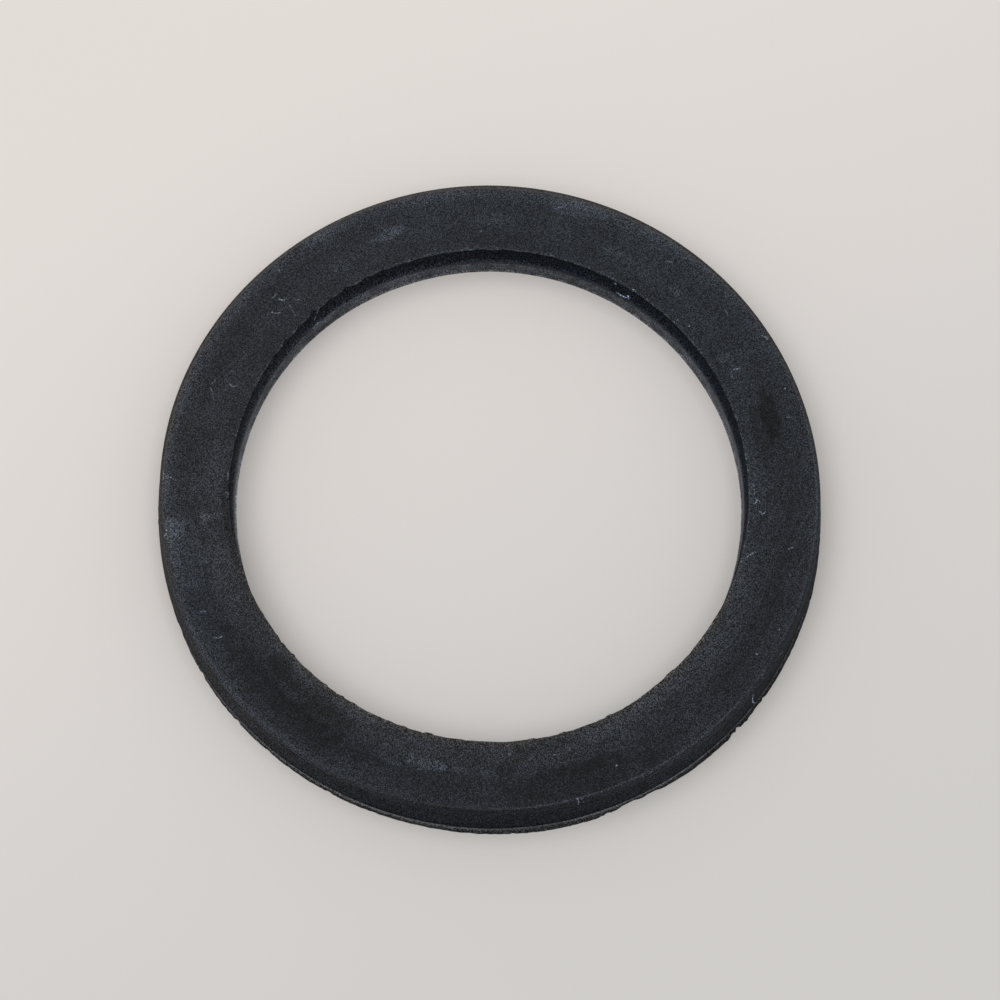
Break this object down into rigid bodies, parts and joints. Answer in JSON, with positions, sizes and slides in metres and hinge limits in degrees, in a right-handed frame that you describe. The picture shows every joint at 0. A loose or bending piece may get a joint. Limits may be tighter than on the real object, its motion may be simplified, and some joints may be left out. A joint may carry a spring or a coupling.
{
  "type": "gasket",
  "caption": "Flat moulded rubber ring gasket with a drafted outer wall, a stepped bore and a thin flash line around its foot.",
  "frame": {"origin": "middle of the lower sealing face, on the ring's axis", "axes": "+Z along the ring's axis, from the lower sealing face to the upper one"},
  "size_m": [0.0799, 0.0802, 0.0063],
  "materials": {
    "rubber": "matt black moulded nitrile rubber"
  },
  "bodies": {
    "root": {"gasket": "rubber"}
  },
  "joints": []
}
